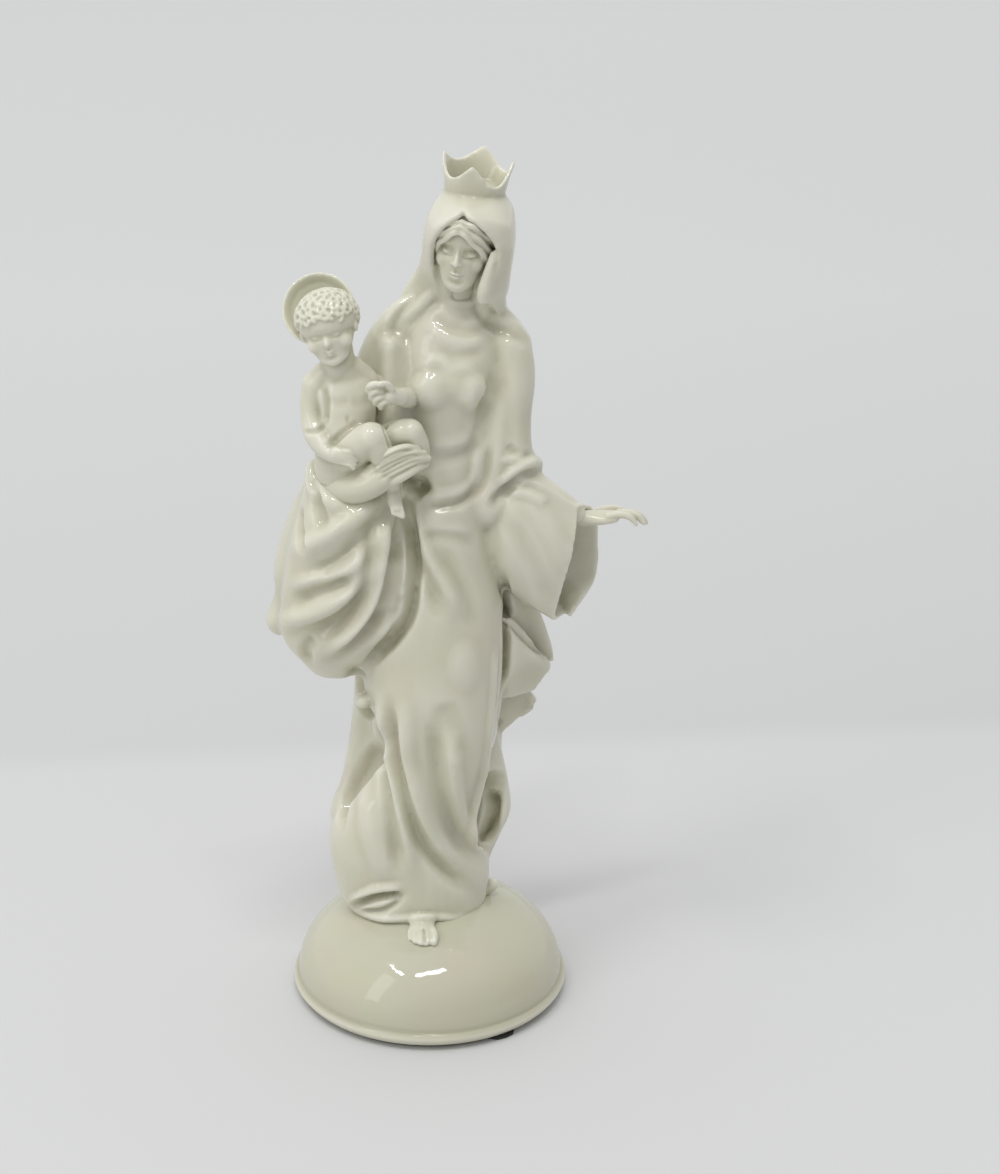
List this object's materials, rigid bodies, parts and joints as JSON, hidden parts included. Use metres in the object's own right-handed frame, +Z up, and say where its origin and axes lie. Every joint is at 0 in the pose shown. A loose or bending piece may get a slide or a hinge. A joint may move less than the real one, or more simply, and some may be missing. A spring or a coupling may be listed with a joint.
{
  "type": "virgin and child statue",
  "caption": "Glazed porcelain standing Virgin with crown and veil, holding the Child, on a domed round base with a felt pad.",
  "frame": {"origin": "centre of the felt underside, on the ground under the middle of the round base", "axes": "+Z up through the figure, -Y the way the figure faces, +X towards the open hand"},
  "size_m": [0.1363, 0.103, 0.3195],
  "materials": {
    "glazed_porcelain": "glazed porcelain, cream with a faint grey-green tint",
    "dark_felt": "dark felt"
  },
  "bodies": {
    "root": {"virgin_and_child": "glazed_porcelain", "base_felt": "dark_felt"}
  },
  "joints": []
}
